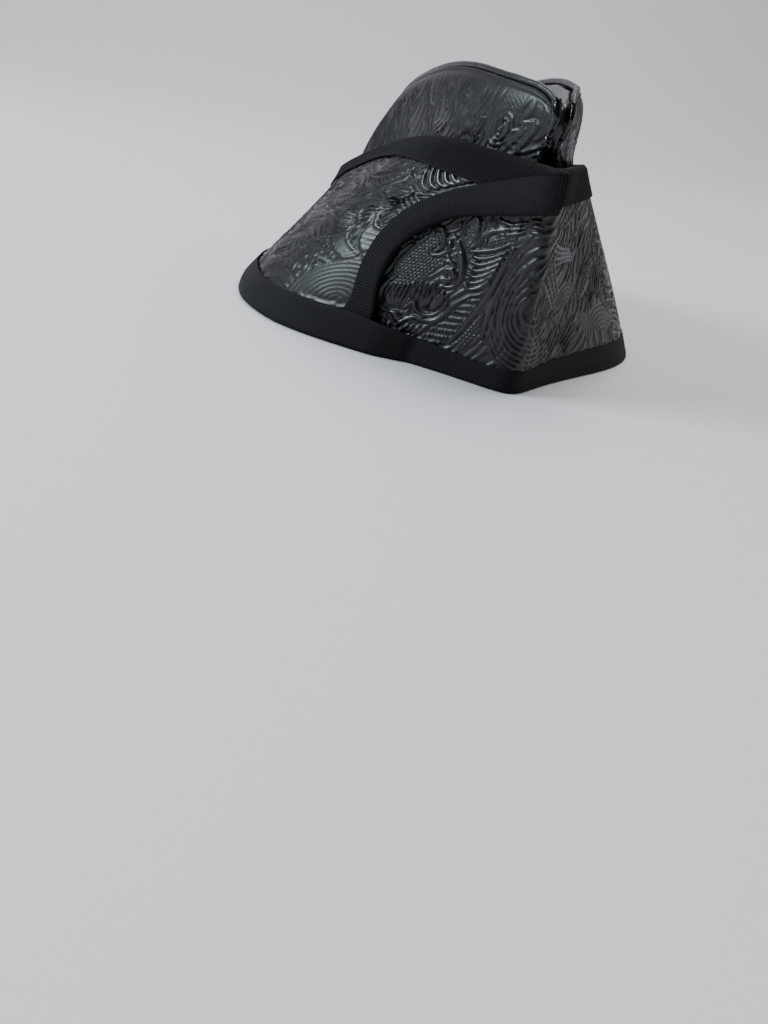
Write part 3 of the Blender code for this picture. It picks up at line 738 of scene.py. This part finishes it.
def finer(path, count):
    """Path through points, resampled smoothly at even steps."""
    step = np.linalg.norm(np.diff(path, axis=1), axis=2).mean(axis=0)
    reach = np.concatenate([[0], np.cumsum(step)])
    at = np.linspace(0, reach[-1], count)
    i = np.clip(np.searchsorted(reach, at) - 1, 0, len(reach) - 2)
    t = ((at - reach[i]) / (reach[i + 1] - reach[i]))[None, :, None]
    slope = np.gradient(path, reach, axis=1)
    h = (reach[i + 1] - reach[i])[None, :, None]
    return hermite(t, path[:, i], path[:, i + 1], h * slope[:, i], h * slope[:, i + 1])


def ribbon_piece(name, stations, path_at, count, ring=False):
    """Ribbon along stations; path_at gives the folded path of its inner face at all of them."""
    paths = finer(path_at(stations), count)
    length = reach_along(paths[:, count // 4])
    if ring:
        length *= round(length[-1] / RIB_PITCH) * RIB_PITCH / length[-1]
    grid = ribbed(paths, length)
    grid[..., 2] = np.maximum(grid[..., 2], 0.0)
    flat = places(length, np.linspace(0, 2 * RIBBON_WIDE, grid.shape[1]))
    across = np.linspace(0, 1, count)
    over = None if ring else np.concatenate([across, across[::-1], across[:1]])
    return lay_out(name, grid, flat, over=over)


def folded(shown, hidden, inner, outer):
    """Path of a folded ribbon's inner face across an edge: distance down from the edge, and out."""
    return [(shown, outer), (shown * 0.72, outer), (shown * 0.45, outer), (shown * 0.2, outer),
            (0.5, outer), (-GAP, outer - 0.3), (-GAP - 0.25, (inner + outer) / 2), (-GAP, inner + 0.3),
            (0.5, inner), (hidden * 0.5, inner), (hidden, inner)]


def top_paths(s):
    inner = lift(s) - 1.4 * GAP
    outer = lift(s) + CURTAIN_LEATHER + 1.4 * GAP
    hidden = 8.0 - 3.0 * smooth(s, 0.86, 0.92)
    rows = []
    for at, i, o, h in zip(s, inner, outer, hidden):
        path = np.array(folded(RIBBON_SHOWN, h, i, o))
        rows.append(wall(at, 1 - path[:, 0] / wall_height(at), path[:, 1]))
    return np.array(rows)


def wing_end_paths(row):
    edge_s, edge_v = wing_row(row)
    out = lift(edge_s)
    edge = wall(edge_s, edge_v, out)
    into = unit(np.cross(normal(edge_s, edge_v), unit(np.gradient(edge, axis=0))))
    over = smooth(row, 0.30, 0.50) * (RIBBON_THICK + 1.9 * GAP)
    per_turn = (wall(edge_s + 0.002, edge_v, out) - wall(edge_s - 0.002, edge_v, out)) / 0.004
    per_rise = (wall(edge_s, edge_v + 0.01, out) - wall(edge_s, edge_v - 0.01, out)) / 0.02
    paths = []
    for k in range(len(row)):
        narrow = 3.3 * smooth(row[k], 0.03, 0.16) * (1 - smooth(row[k], 0.46, 0.68))
        path = np.array(folded(RIBBON_SHOWN - narrow, 4.0, -1.6 * GAP, CURTAIN_LEATHER + 1.8 * GAP))
        upright = smooth(row[k], 0.42, 0.66)
        path[5:8, 0] -= 1.0
        path[7:, 1] -= 0.3 * upright
        path[:5, 1] += over[k] * np.array([1, 1, 1, 0.8, 0.4])
        step = np.linalg.lstsq(np.stack([per_turn[k], per_rise[k]], axis=1), into[k], rcond=None)[0]
        step = step * (1 - upright) + np.array([0.0, 1 / np.linalg.norm(per_rise[k])]) * upright
        s_at, v_at = edge_s[k] + step[0] * path[:, 0], edge_v[k] + step[1] * path[:, 0]
        paths.append(wall(s_at, v_at, lift(s_at) + path[:, 1]))
    return np.array(paths)


def rim_paths(turn):
    end = WING_END["turn"][0]
    both = 1 - smooth(turn, end + 0.004, end + 0.035)
    lifted = np.where(turn < 0.5, 0.0, lift(turn))
    layers = (lifted + (RIBBON_THICK + 1.8 * GAP) * smooth(turn, 0.77, 0.80)) * both
    outer = layers + CURTAIN_LEATHER + GAP + 0.55 * smooth(layers, 0.0, 1.0)
    shown = rim_ribbon_shown(turn)
    inner = -CROWN_IN_RIM - CROWN_LEATHER - 1.7 * GAP
    paths = []
    for t, o, show in zip(turn, outer, shown):
        path = np.array([(show, o), (show * 0.75, o), (show * 0.5, o), (show * 0.25, o), (1.2, o),
                         (-1.5, o + 0.1), (-0.6, inner + 0.2), (1.2, inner), (4.0, inner), (7.0, inner)])
        points = wall(t, path[:, 0] / wall_height(t), path[:, 1])
        points[5:7, 2] = RIBBON_THICK + 0.02
        paths.append(points)
    return np.array(paths)


def by_length(a, b, gap):
    """Turns from a to b at an even spacing in millimetres."""
    xa, xb = np.interp((a, b), WAY, ROUND)
    return np.interp(np.linspace(xa, xb, int((xb - xa) / gap)), ROUND, WAY)


top_edge_binding = ribbon_piece("top_edge_ribbon", by_length(-1 / 60, 1 + 0.2 / 60, 0.24), top_paths, 16)
rim_turns = np.append(by_length(0.0, 0.99999, 0.24)[:-1], 1.0)
rim_binding = ribbon_piece("rim_ribbon", rim_turns, lambda t: rim_paths(t % 1.0), 18, ring=True)
end_rows = WING_CORNER * (1 - (1 - np.linspace(0.0, 1.0, 520)) ** 1.2)
wing_end_binding = ribbon_piece("wing_end_ribbon", end_rows, wing_end_paths, 16)

ribbon_finish, shader, start = new_finish("grosgrain", Specular_IOR_Level=0.18)
flat_place = start.node("ShaderNodeTexCoord", {}, {}, "UV")
along_ribbon = start.node("ShaderNodeSeparateXYZ", {}, {0: flat_place}, "X")
over_ribbon = start.node("ShaderNodeSeparateXYZ", {}, {0: flat_place}, "Y")
weave = start.node("ShaderNodeTexNoise", {}, {"Vector": flat_place, "Scale": 2.6, "Detail": 2.0})
dust = start.node("ShaderNodeTexNoise", {}, {"Vector": flat_place, "Scale": 0.12, "Detail": 3.0})
rib = (along_ribbon * (2 * np.pi / RIB_PITCH) + 1.2 * weave + 1.57).sine() * 0.5 + 0.5
warp = (over_ribbon * 15.0 + along_ribbon * 3.3).sine() * 0.5 + 0.5
bump = start.node("ShaderNodeBump", {}, {"Strength": 0.5, "Distance": 0.0002,
                                         "Height": warp * rib * 0.8 + weave * 0.4})
# The rib wave also paints the hollows between ribs darker and the rib tops paler, painted shade and painted
# highlight; the dust noise adds a random tone.
wire(shader, Normal=bump, Roughness=0.82 - 0.22 * rib + 0.10 * weave,
     Base_Color=(rib * 0.75 + dust * 0.25).blend((0.0008, 0.0008, 0.001, 1), (0.011, 0.011, 0.0125, 1)))
for piece, node in ((top_edge_binding, "top_edge_binding"), (rim_binding, "rim_binding"),
                    (wing_end_binding, "wing_end_binding")):
    piece.data.materials.append(ribbon_finish)
    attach(piece, "root")
    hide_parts(node)

# Crown panels: two D-shaped sides of the same embossed leather, sewn inside the rim and to the gusset
# along their top seam.
CROWN_CLEAR = 2.4
PIPING_RADIUS = 1.3
SEAM_FRONT, SEAM_BACK = -86.0, 90.0
FOOT_FRONT, FOOT_BACK = -80.5, 93.0
CORNER_HIGH = 86.5
FRONT_DROP = 38.0               # height of the front edges below that corner
SEAM = dict(y=(SEAM_FRONT, -85.2, -82.5, -78, -70, -58, -40, -20, 0, 20, 40, 60, 76, 86, SEAM_BACK),
            z=(CORNER_HIGH, 89.4, 92.0, 93.7, 94.7, 95.4, 96.0, 94.8, 91.9, 88.2, 83.8, 77.6, 69.6, 60.0,
               53.0),
            half=(5.0, 5.3, 6.0, 7.4, 9.8, 12.6, 15.6, 17.4, 18.0, 17.6, 16.6, 15.0, 13.2, 11.2, 10.2))


def seam_points(y, side):
    half = along(SEAM, "half", y, "y") - 2.6 * (1 - smooth(y, SEAM_FRONT, -60))
    return np.stack([side * half, y, along(SEAM, "z", y, "y")], axis=-1)


def front_edge(side, down):
    """Line of a seam's front end below its corner: it leans back and towards the wearer's right."""
    lean = 0.03 if side < 0 else 0.12
    return np.stack([side * 2.4 - lean * down, SEAM_FRONT + 0.26 * down, CORNER_HIGH - down], axis=-1)


def turn_at(y, side):
    """Way round the cap at which the curtain's top edge reaches y."""
    t = np.linspace(0.0, 0.5, 2000)
    found = np.interp(y, oval_point(TOP, t)[1], t)
    return found if side > 0 else 1 - found


def panel_sheet(side, y, count):
    """Inner face of a crown panel: for each y of the seam, points from the rim up to the seam."""
    foot = FOOT_FRONT + (y - SEAM_FRONT) * (FOOT_BACK - FOOT_FRONT) / (SEAM_BACK - SEAM_FRONT)
    t = turn_at(foot, side)
    top = seam_points(y, side)
    low = np.array([0.03, 0.16, 0.34, 0.56, 0.78, 1.0])
    inset = CROWN_IN_RIM + CROWN_LEATHER + (CROWN_CLEAR - CROWN_IN_RIM) * smooth(low, 0.14, 0.36)
    lower = wall(t[:, None], low[None], -inset)
    rising = unit(lower[:, -1] - lower[:, -2])
    reach = np.linalg.norm(top - lower[:, -1], axis=1)[:, None, None]
    front = 1 - smooth(y, SEAM_FRONT, -76)
    inward = np.stack([-side * (0.5 - 0.2 * front), -0.85 * front, 0.85 - 0.4 * front], axis=-1)
    k = np.linspace(0, 1, 7)[None, 1:, None]
    end = (top - inward * 1.5)[:, None]
    upper = hermite(k, lower[:, -1:], end, reach * rising[:, None], reach * inward[:, None])
    sheet = finer(np.concatenate([lower, upper], axis=1), count)
    z = sheet[..., 2]
    edge = front_edge(side, np.clip(CORNER_HIGH - z, 0, FRONT_DROP))
    pull = (1 - smooth(y, SEAM_FRONT, -77))[:, None] * smooth(z, 52, 62) * smooth(91 - z, 0, 4)
    sheet[..., :2] += (edge[..., :2] - sheet[..., :2]) * pull[..., None]
    return sheet


crown_hide = EmbossedLeather((-100, -3), (100, 110), seed=11)
crown_hide.locks(0, 50, 150, 230, -68, 12, 2.5, wide=0.62, high=0.26, swing=20)
crown_hide.leaf(16, 13, -118, 20, 30, 4.2)
crown_hide.leaf(26, 22, -64, 20, -30, 4.0)
crown_hide.comb(((18, 20.5), (25, 17.5), (31, 12.5)), ((22, 23), (30, 20), (37, 14)), 3, 0.8)
crown_hide.comb(((37, 10), (39.5, 6), (41, 3)), ((45, 10), (47, 6), (50, 2.5)), 5, 0.7, 0.46)
crown_hide.comb(((51, 20.5), (54, 16.5), (55, 13)), ((61, 20.5), (62, 16.5), (62, 13)), 6, 0.7, 0.46)
crown_hide.ridge(((55, 2.5), (55.6, 5), (55, 9)), 0.9, 0.46)
crown_hide.beads(71.5, 5.5, 90, 7.5, 4.4, pitch=1.15)
for reach in (2.0, 3.8, 5.6):
    arc = [(72.5 + 0.75 * reach * np.cos(a), 15.2 + reach * np.sin(a)) for a in np.linspace(-2.4, 3.2, 9)]
    crown_hide.ridge(arc, 0.5, 0.26, 0.12)
crown_hide.ridge(((72.2, 13.8), (72.8, 16.2)), 0.7, 0.44)
crown_hide.lobe(((80.4, 8.5), (78.8, 10), (79.0, 12.4), (77.2, 14), (77.4, 17), (75.8, 19.5), (75.8, 23),
                 (74.8, 26), (78.8, 27), (79.6, 21), (80.6, 15), (81.2, 10.5)), wide=0.35, beads=0.95)
crown_hide.comb(((80.0, 11), (79.3, 13), (78.6, 15)), ((77.6, 22.5), (76.8, 24.5), (75.6, 26)),
                6, 0.5, 0.4, 0.1)
for line in (((33.6, 1), (35, 3.4), (36.5, 6.4)), ((44.8, 4.6), (46.4, 8), (47.4, 12.4)),
             ((64, 11.6), (64.4, 16), (63.8, 21)), ((0.5, 1), (1, 4)), ((11.5, 3.5), (13.4, 5.6))):
    crown_hide.ridge(line, 0.7, high=-0.42, groove=0.0)
crown_hide.height = np.clip(crown_hide.height, -0.5, 0.44)


def crown_panel(name, side, gap, rows):
    """One side of the crown, about 190 mm long, with a column of points at each gap."""
    front_to_back = SEAM_FRONT + (SEAM_BACK - SEAM_FRONT) * np.linspace(0, 1, int(190 / gap)) ** 1.15
    sheet = panel_sheet(side, front_to_back, rows)
    run, up = np.gradient(sheet, axis=0), np.gradient(sheet, axis=1)
    face = unit(np.cross(run, up) * side)
    step = np.linalg.norm(np.diff(sheet, axis=1), axis=2)
    below = np.concatenate([np.cumsum(step[:, ::-1], axis=1)[:, ::-1], np.zeros((len(sheet), 1))], axis=1)
    x = np.broadcast_to(-front_to_back[:, None], below.shape)
    height = crown_hide.sample(x, below)
    height = -0.2 + (height + 0.2) * (0.3 + 0.7 * smooth(below, 2, 11))
    shown = smooth(below, 2.2, 3.6)
    height = height * shown - 0.1 * (1 - shown) - 0.5 * np.exp(-((below - 0.9) / 0.7) ** 2)
    outer = sheet + face * (CROWN_LEATHER + height)[..., None]
    behind = np.linspace(rows - 1, 0, 12).astype(int)
    grid = np.concatenate([outer, sheet[:, behind], outer[:, :1]], axis=1)
    over = np.concatenate([np.arange(rows), behind, [0]])
    flat = np.zeros(grid.shape[:2] + (2,))
    flat[:, :rows] = np.stack([x, below], axis=-1)
    # The relief attribute carries the height to the finish, which paints ridges paler and grooves, the
    # stitched groove too, darker as painted highlight and painted shade.
    relief = np.full(grid.shape[:2], 0.2)
    relief[:, :rows] = 0.5 + height
    return lay_out(name, grid, flat, relief, over)


panel_right = crown_panel("crown_side_right", -1, 0.5, 150)
panel_left = crown_panel("crown_side_left", 1, 0.7, 110)
panel_finish = leather_finish("panel_leather", (0.002, 0.002, 0.0025, 1), (0.016, 0.0162, 0.0175, 1),
                              rough=0.45, grain=0.16)
for piece, node in ((panel_right, "crown_panel_right"), (panel_left, "crown_panel_left")):
    piece.data.materials.append(panel_finish)
    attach(piece, "root")
    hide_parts(node)

# Gusset: the strip between the two seams, folded inward in a valley. At the front it crumples into
# sharp glossy pleats where it is tucked down behind the curtain.
VALLEY = dict(y=(SEAM_FRONT, -84, -78, -70, -40, 0, 40, SEAM_BACK),
              depth=(2.6, 5.0, 12.0, 17.0, 20.0, 19.0, 15.0, 8.0),
              fold=(1.4, 2.0, 5.0, 7.0, 3.0, 0.0, 0.0, 0.0))
VALLEY_CENTRE = (0.0, -5.0, 10.0)
SECTION = dict(at=(0.0, 0.10, 0.30, 0.42, 0.5, 0.58, 0.70, 0.90, 1.0),
               down=(0.04, 0.35, 0.85, 1.0, 1.0, 1.0, 0.85, 0.35, 0.04),
               up=(0, 0, 0, 0.55, 1.0, 0.55, 0, 0, 0))
FRONT_STEPS = 60


def spine_line(side, y):
    """Seam line of one side, led down inside the curtain at the front and the back."""
    top = seam_points(y, side)
    front = front_edge(side, np.linspace(FRONT_DROP, 0.8, FRONT_STEPS))
    down = np.linspace(0.8, 20.0, 24)
    x, y, z = top[-1]
    back = np.stack([x * (1 - down * 0.006), y - down * 0.05, z - down], axis=-1)
    return np.concatenate([front, top, back])


gusset_y = np.linspace(SEAM_FRONT, SEAM_BACK, 300)
right_line, left_line = spine_line(-1, gusset_y), spine_line(1, gusset_y)
inward = unit(VALLEY_CENTRE - (right_line + left_line) / 2)
centre_y = right_line[:, 1]
along_valley = np.where(np.arange(len(centre_y)) < FRONT_STEPS, SEAM_FRONT, centre_y)
depth = along(VALLEY, "depth", along_valley, "y")
fold = along(VALLEY, "fold", along_valley, "y")
share = np.linspace(0, 1, 61)
down = np.interp(share, SECTION["at"], SECTION["down"])
down = np.convolve(np.pad(down, 3, mode="edge"), np.ones(7) / 7, mode="valid")
up = np.interp(share, SECTION["at"], SECTION["up"])
set_in = PIPING_RADIUS * 0.8 * (0.25 + 0.75 * smooth(along_valley, SEAM_FRONT, -76))
set_in = np.array([1.0, 0, 0]) * set_in[:, None]
a, b = right_line + set_in, left_line - set_in
gusset_sheet = (a[:, None] + (b - a)[:, None] * share[None, :, None]
                + inward[:, None] * (depth[:, None] * down - fold[:, None] * up + 0.6)[..., None])
face = unit(np.cross(np.gradient(gusset_sheet, axis=1), np.gradient(gusset_sheet, axis=0)))
face *= np.sign(-(face * inward[:, None]).sum(axis=-1, keepdims=True).mean())
rng = np.random.default_rng(3)
lengthwise, crosswise = np.meshgrid(np.arange(len(gusset_sheet)) * 0.6, share * 15, indexing="ij")
creases = [EmbossedLeather.cloud(rng, lengthwise * 0.16, crosswise, size) for size in (3.0, 1.7, 1.1)]
crumple = 0.9 - 2.2 * np.abs(creases[0]) + 0.5 - 1.2 * np.abs(creases[1]) + 0.3 * creases[2]
towards_front = 1 - smooth(along_valley, -84, -62)
edge_fade = smooth(share, 0.02, 0.12) * smooth(1 - share, 0.02, 0.12)
height = crumple * (0.10 + 0.90 * towards_front[:, None]) * edge_fade[None] * 1.1
outer = gusset_sheet + face * (1.0 + np.clip(height, -1.4, 1.6))[..., None]
gusset_grid = np.concatenate([outer, gusset_sheet[:, ::-6], outer[:, :1]], axis=1)
across = np.arange(len(share))
flat = places(np.arange(gusset_grid.shape[0]) * 0.7, np.arange(gusset_grid.shape[1]) * 0.7)
gusset = lay_out("crown_fold", gusset_grid, flat, np.full(gusset_grid.shape[:2], 0.55),
                 np.concatenate([across, across[::-6], across[:1]]))
gusset_finish = leather_finish("gusset_leather", (0.002, 0.002, 0.0025, 1), (0.010, 0.010, 0.011, 1),
                               rough=0.32, grain=0.12)
gusset.data.materials.append(gusset_finish)
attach(gusset, "root")
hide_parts("crown_gusset")

# Crown seams: the panel's leather turned over its raw edge and topstitched, which makes a raised rounded
# edge with a stitched groove beneath it. At the front corner it turns down, puckered and pulled glossy,
# and is tucked behind the curtain.
edge_finish = leather_finish("edge_leather", (0.003, 0.003, 0.003, 1), (0.020, 0.021, 0.020, 1), rough=0.52)
tuck_finish = leather_finish("tucked_leather", (0.002, 0.002, 0.0025, 1), (0.008, 0.008, 0.009, 1),
                             rough=0.20, grain=0.3)
DEEP = 24                       # first stations of the front edge, out of sight inside the curtain
CORNER = FRONT_STEPS - DEEP     # stations from there up to the corner
STATION_GAP = 0.42
PUCKER_GAP = 1.3
TUCK_STATIONS = 150
AROUND = 17                     # points round an edge's section


def turned_edge(name, line, radius, gloss_and_painted_sheen):
    """Rounded edge along a line; its radius and its gloss value, which also paints the colour paler as a
    painted sheen, are given at each station and angle.
    """
    run = unit(np.gradient(line, axis=0))
    sideways = np.cross(run, np.array([0, 0, 1.0]))
    sideways[:, 2] = 0
    sideways[np.linalg.norm(sideways, axis=1) < 0.4] = (1.0, 0, 0)
    sideways = unit(sideways)
    upward = np.cross(sideways, run)
    angle = np.linspace(0, 2 * np.pi, AROUND)
    grid = (line[:, None] + radius[..., None] * (np.cos(angle)[None, :, None] * sideways[:, None] * 0.92
                                                 + np.sin(angle)[None, :, None] * upward[:, None]))
    flat = places(reach_along(line), angle * PIPING_RADIUS)
    half_round = np.arange(AROUND // 2 + 1)
    over = np.concatenate([half_round, half_round[-2::-1]])
    return lay_out(name, grid, flat, gloss_and_painted_sheen + np.zeros(grid.shape[:2]), over)


for side, node in ((-1, "crown_seam_right"), (1, "crown_seam_left")):
    line = spine_line(side, np.linspace(SEAM_FRONT, SEAM_BACK, 420))[DEEP:-8]
    rng = np.random.default_rng(7)
    knots = np.arange(0, 300, PUCKER_GAP)
    pucker = rng.uniform(-1, 1, len(knots))
    pucker = np.interp(np.arange(len(line)) * STATION_GAP, knots, pucker)[:, None]
    down_front = (1 - smooth(line[:, 1], -86.2, -80))[:, None]
    radius = 1.12 * (1 + pucker * (0.05 + 0.2 * down_front)) + np.zeros(AROUND)
    # High along the seam, which makes the edge glossy and paints it paler as a painted sheen; lower at the
    # front corner, which paints that part darker as painted shade; the puckers vary it at random.
    gloss_and_painted_sheen = 0.75 - 0.55 * down_front + 0.15 * pucker
    edge = turned_edge(node + "_edge", line[CORNER - 1:], radius[CORNER - 1:], gloss_and_painted_sheen[CORNER - 1:])
    edge.data.materials.append(edge_finish)
    steps = np.interp(np.arange(TUCK_STATIONS), np.linspace(0, TUCK_STATIONS - 1, CORNER + 5),
                      np.arange(CORNER + 5))
    tucked = np.stack([np.interp(steps, np.arange(len(line)), line[:, axis]) for axis in range(3)], axis=-1)
    near_corner = smooth(steps, 10, 30)[:, None]
    around, down = np.meshgrid(np.sin(np.linspace(0, 2 * np.pi, AROUND)) * 2.2 + 3,
                               np.arange(TUCK_STATIONS) * 0.16)
    folds = EmbossedLeather.cloud(rng, around, down * 0.8, 2.2)
    folds = folds + 0.5 * EmbossedLeather.cloud(rng, around, down, 1.1)
    width = 1.30 + 0.35 * near_corner if side < 0 else 0.95 + 0.1 * near_corner
    # The folds also go to the finish's relief: they paint the tucked leather paler where it bulges and
    # darker between, painted highlight and painted shade, and set its gloss.
    corner = turned_edge(node + "_tuck", tucked, width + folds * (0.10 + 0.38 * near_corner),
                         0.5 + 0.2 * folds)
    corner.data.materials.append(tuck_finish)
    for piece in (edge, corner):
        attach(piece, "root")
        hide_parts(node)

# Studio: a pale floor that sweeps up into a backdrop, and broad soft lights.
SWEEP = 0.9                     # metres back to where the floor starts to rise, and the sweep's radius
bpy.ops.mesh.primitive_grid_add(x_subdivisions=40, y_subdivisions=60, size=1.0)
floor = bpy.context.object
floor.name = "studio_floor"
for vertex in floor.data.vertices:
    x, y = vertex.co.x * 6.0, (vertex.co.y + 0.5) * 5.0 - 2.2
    bend = max(0.0, y - SWEEP)
    rise = SWEEP * (1 - np.cos(min(bend, 1.4))) + max(0.0, bend - 1.4) * 1.6
    vertex.co = (x, min(y, SWEEP + np.sin(min(bend, 1.4)) * SWEEP), rise)
bpy.ops.object.shade_smooth()
floor.select_set(False)
floor_finish, shader, start = new_finish("studio_floor", Base_Color=(0.68, 0.68, 0.70, 1))
place = start.node("ShaderNodeTexCoord", {}, {}, "Object")
tone = start.node("ShaderNodeTexNoise", {}, {"Vector": place, "Scale": 3.0, "Detail": 2.0})
wire(shader, Roughness=0.82 + 0.1 * tone)
floor.data.materials.append(floor_finish)

world = bpy.data.worlds.new("studio")
world.use_nodes = True
room = Value(world.node_tree, None)
towards = room.node("ShaderNodeTexCoord", {}, {}, "Generated")
pale_side = room.node("ShaderNodeVectorMath", {"operation": "DOT_PRODUCT"},
                      {0: towards, 1: (0.62, 0.78, 0.10)}, "Value")
glow = room.node("ShaderNodeMapRange", {"interpolation_type": "SMOOTHSTEP"},
                 {"Value": pale_side, "From Min": -0.45, "From Max": 0.75,
                  "To Min": 0.05, "To Max": 0.68})
seen = room.node("ShaderNodeLightPath", {}, {}, "Is Camera Ray")
strength = glow * (1 - seen) + 0.62 * seen
world.node_tree.links.new(strength.socket, world.node_tree.nodes["Background"].inputs["Strength"])
world.node_tree.nodes["Background"].inputs["Color"].default_value = (0.90, 0.91, 0.95, 1)
bpy.context.scene.world = world


def softbox(name, place, target, size, power, colour=(1, 1, 1)):
    lamp = bpy.data.lights.new(name, "AREA")
    lamp.shape = "RECTANGLE"
    lamp.size, lamp.size_y = size
    lamp.energy = power
    lamp.color = colour
    light = bpy.data.objects.new(name, lamp)
    bpy.context.scene.collection.objects.link(light)
    back = unit(np.array(place, float) - np.array(target, float))
    right = unit(np.cross((0, 0, 1.0), back))
    turn = np.column_stack([right, np.cross(back, right), back])
    light.matrix_world = Matrix.Translation(place) @ Matrix(turn.tolist()).to_4x4()


softbox("window", (-1.06, -0.04, 0.58), (0, 0, 0.05), (0.6, 0.4), 17.0, (0.80, 0.92, 1.0))
softbox("ceiling", (0.3, 0.5, 1.9), (0, 0.3, 0), (1.6, 1.6), 38.0)

# Camera: the photograph's place and tilt, as fitted to the cap's outlines
CAMERA_AT = (-129.67, -407.56, 100.54)
CAMERA_TURN = dict(azimuth=-16.91, elevation=24.15, roll=11.11)
FOCAL_PIXELS = 1050.0
IMAGE_TALL = 1024.0
azimuth, elevation, roll = (np.radians(CAMERA_TURN[k]) for k in ("azimuth", "elevation", "roll"))
back = np.array([np.sin(azimuth) * np.cos(elevation), -np.cos(azimuth) * np.cos(elevation),
                 np.sin(elevation)])
right = np.array([np.cos(azimuth), np.sin(azimuth), 0.0])
upright = np.cross(back, right)
turned = np.column_stack([np.cos(roll) * right + np.sin(roll) * upright,
                          np.cos(roll) * upright - np.sin(roll) * right, back])
lens = bpy.data.cameras.new("camera")
lens.sensor_fit = "VERTICAL"
lens.sensor_height = 36.0
lens.lens = 36.0 * FOCAL_PIXELS / IMAGE_TALL
lens.clip_start = 0.01
camera = bpy.data.objects.new("camera", lens)
bpy.context.scene.collection.objects.link(camera)
camera.matrix_world = (Matrix.Translation((np.array(CAMERA_AT) + CENTRE) * MM)
                       @ Matrix(turned.tolist()).to_4x4())
bpy.context.scene.camera = camera
